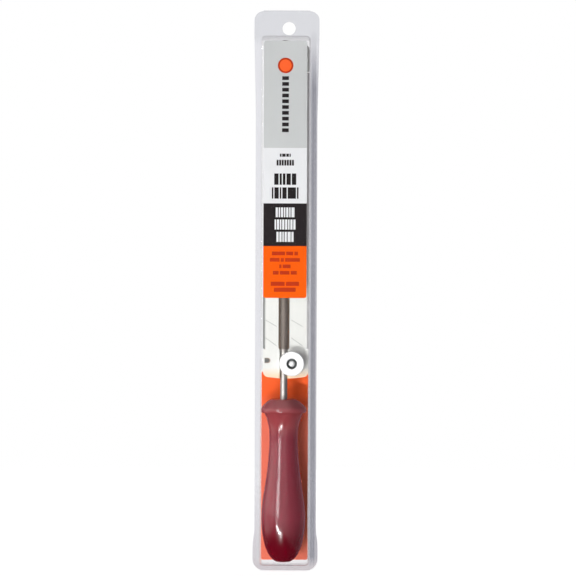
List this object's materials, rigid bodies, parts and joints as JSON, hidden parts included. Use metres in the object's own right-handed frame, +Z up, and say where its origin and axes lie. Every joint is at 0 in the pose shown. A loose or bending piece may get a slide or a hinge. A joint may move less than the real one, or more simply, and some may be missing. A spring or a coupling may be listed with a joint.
{
  "type": "chainsaw file guide",
  "caption": "Round file with a turned handle, clamped in a windowed filing guide, in a clear hinged hanging case with a printed card.",
  "frame": {"origin": "middle of the case's outside box at its bottom edge", "axes": "+Z up the length to the hanging hole, +X to the right seen from the window, -Y out of the window"},
  "size_m": [0.0426, 0.0334, 0.3668],
  "materials": {
    "clear_film": "clear, glossy",
    "card": "printed orange",
    "label": "printed in grey, white, black and orange panels",
    "zinc_plate": "bright zinc",
    "zinc_hardware": "bright zinc",
    "file_steel": "cut teeth, dark, with a bright plain shank",
    "handle": "glossy maroon"
  },
  "bodies": {
    "case_front": {"front_shell": "clear_film", "hinge_fold": "clear_film", "front_label": "label", "guide_plate": "zinc_plate", "clamp_bolt_lower": "zinc_hardware", "clamp_bolt_upper": "zinc_hardware"},
    "case_back": {"back_cover": "clear_film", "back_card": "card"},
    "file_and_handle": {"round_file": "file_steel", "handle": "handle"},
    "washer_lower": {"clamp_washer_lower": "zinc_hardware"},
    "nut_lower": {"thumb_nut_lower": "zinc_hardware"},
    "washer_upper": {"clamp_washer_upper": "zinc_hardware"},
    "nut_upper": {"thumb_nut_upper": "zinc_hardware"}
  },
  "joints": [
    {"name": "case_hinge", "type": "hinge", "parent": "case_front", "child": "case_back", "pos_m": [0, 0.0161, 0.36625], "axis": [1, 0, 0], "range_deg": [0, 180], "deforming": ["hinge_fold"]},
    {"name": "file_turn", "type": "hinge", "parent": "case_front", "child": "file_and_handle", "pos_m": [-0.0012, -0.00125, 0.2], "axis": [0, 0, 1], "continuous": true},
    {"name": "clamp_lift_lower", "type": "slide", "parent": "case_front", "child": "washer_lower", "axis": [0, -1, 0], "range_m": [0, 0.0021]},
    {"name": "nut_turn_lower", "type": "hinge", "parent": "washer_lower", "child": "nut_lower", "pos_m": [0.00395, -0.0073, 0.1362], "axis": [0, -1, 0], "range_deg": [0, 1080]},
    {"name": "clamp_lift_upper", "type": "slide", "parent": "case_front", "child": "washer_upper", "axis": [0, -1, 0], "range_m": [0, 0.0021]},
    {"name": "nut_turn_upper", "type": "hinge", "parent": "washer_upper", "child": "nut_upper", "pos_m": [0.00395, -0.0075, 0.3338], "axis": [0, -1, 0], "range_deg": [0, 1080]}
  ],
  "couplings": [
    {"joint": "nut_turn_lower", "follows": "clamp_lift_lower", "rad_per_m": 8975.9},
    {"joint": "nut_turn_upper", "follows": "clamp_lift_upper", "rad_per_m": 8975.9}
  ]
}
